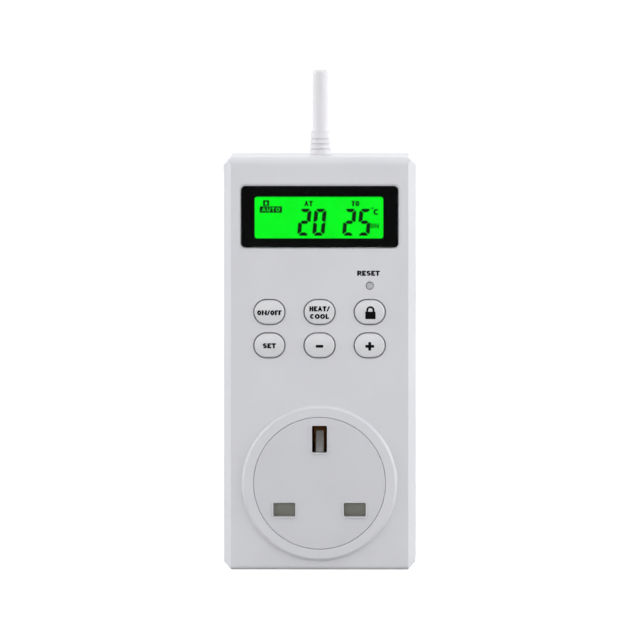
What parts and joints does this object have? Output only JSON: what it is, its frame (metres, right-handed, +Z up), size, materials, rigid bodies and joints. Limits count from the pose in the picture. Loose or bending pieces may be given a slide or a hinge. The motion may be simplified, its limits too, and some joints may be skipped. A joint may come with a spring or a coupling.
{
  "type": "plug in temperature controller",
  "caption": "Wall plug temperature controller with a lit display, crowned keys, a shuttered through outlet and a short sensor probe standing on top.",
  "frame": {"origin": "on the flat rear face, midway between the line and neutral pins", "axes": "+Y out of the rear face, the way the plug pins point into the wall; +Z up towards the probe; +X to the right when the display is read"},
  "size_m": [0.0604, 0.06, 0.1567],
  "materials": {
    "housing": "fine moulded satin, light grey",
    "lens": "clear polished window",
    "black_print": "black printed mask",
    "display": "lit green display glass",
    "guide": "milky light guide",
    "zebra": "layered elastomer",
    "green_board": "green solder mask",
    "brown_board": "tan paper laminate",
    "key": "fine moulded satin",
    "plunger": "brown moulded",
    "shutter": "grey moulded",
    "carrier": "ivory moulded",
    "black_plastic": "black moulded",
    "white_plastic": "white moulded",
    "yellow_case": "yellow potted case",
    "blue_sleeve": "shrunk sleeve",
    "blue_resin": "dipped resin",
    "orange_wire": "dipped bead and leads",
    "contact_brass": "rolled strip",
    "pin_brass": "machined and tumbled",
    "steel": "zinc plated",
    "probe": "white flexible plastic"
  },
  "bodies": {
    "case": {"front_shell": "housing", "rear_cover": "housing", "display_lens": "lens", "display_mask": "black_print", "lcd_glass": "display", "light_guide": "guide", "zebra_strips": "zebra", "control_board": "green_board", "switch_bodies": "black_plastic", "outlet_insert": "housing", "shutter_spring": "steel", "contact_carrier": "carrier", "line_contact": "contact_brass", "neutral_contact": "contact_brass", "earth_contact": "contact_brass", "line_pin": "pin_brass", "neutral_pin": "pin_brass", "earth_pin": "pin_brass", "pin_sleeves": "black_plastic", "line_bar": "contact_brass", "neutral_bar": "contact_brass", "earth_bar": "contact_brass", "power_board": "brown_board", "relay": "black_plastic", "film_capacitor": "yellow_case", "smoothing_capacitor": "blue_sleeve", "varistor": "blue_resin", "rectifier_diodes": "black_plastic", "fuse_resistor": "blue_resin", "board_link": "black_plastic", "probe_header": "white_plastic", "microcontroller": "black_plastic", "backup_battery": "steel", "probe_tube": "probe", "probe_boot": "probe", "thermistor": "orange_wire", "case_screws": "steel", "board_screws": "steel", "carrier_screws": "steel"},
    "key_on_off": {"key_on_off": "key", "plunger_on_off": "plunger"},
    "key_heat_cool": {"key_heat_cool": "key", "plunger_heat_cool": "plunger"},
    "key_lock": {"key_lock": "key", "plunger_lock": "plunger"},
    "key_set": {"key_set": "key", "plunger_set": "plunger"},
    "key_minus": {"key_minus": "key", "plunger_minus": "plunger"},
    "key_plus": {"key_plus": "key", "plunger_plus": "plunger"},
    "reset": {"reset_button": "key", "plunger_reset": "plunger"},
    "shutter": {"outlet_shutter": "shutter"}
  },
  "joints": [
    {"name": "press_on_off", "type": "slide", "parent": "case", "child": "key_on_off", "axis": [0, 1, 0], "range_m": [0, 0.0005], "stiffness_N_per_m": 900, "springref_m": -0.0008},
    {"name": "press_heat_cool", "type": "slide", "parent": "case", "child": "key_heat_cool", "axis": [0, 1, 0], "range_m": [0, 0.0005], "stiffness_N_per_m": 900, "springref_m": -0.0008},
    {"name": "press_lock", "type": "slide", "parent": "case", "child": "key_lock", "axis": [0, 1, 0], "range_m": [0, 0.0005], "stiffness_N_per_m": 900, "springref_m": -0.0008},
    {"name": "press_set", "type": "slide", "parent": "case", "child": "key_set", "axis": [0, 1, 0], "range_m": [0, 0.0005], "stiffness_N_per_m": 900, "springref_m": -0.0008},
    {"name": "press_minus", "type": "slide", "parent": "case", "child": "key_minus", "axis": [0, 1, 0], "range_m": [0, 0.0005], "stiffness_N_per_m": 900, "springref_m": -0.0008},
    {"name": "press_plus", "type": "slide", "parent": "case", "child": "key_plus", "axis": [0, 1, 0], "range_m": [0, 0.0005], "stiffness_N_per_m": 900, "springref_m": -0.0008},
    {"name": "press_reset", "type": "slide", "parent": "case", "child": "reset", "axis": [0, 1, 0], "range_m": [0, 0.0005], "stiffness_N_per_m": 900, "springref_m": -0.0008},
    {"name": "shutter_drop", "type": "slide", "parent": "case", "child": "shutter", "axis": [0, 0, -1], "range_m": [0, 0.0066], "stiffness_N_per_m": 250, "springref_m": -0.002, "deforming": ["shutter_spring"]}
  ]
}
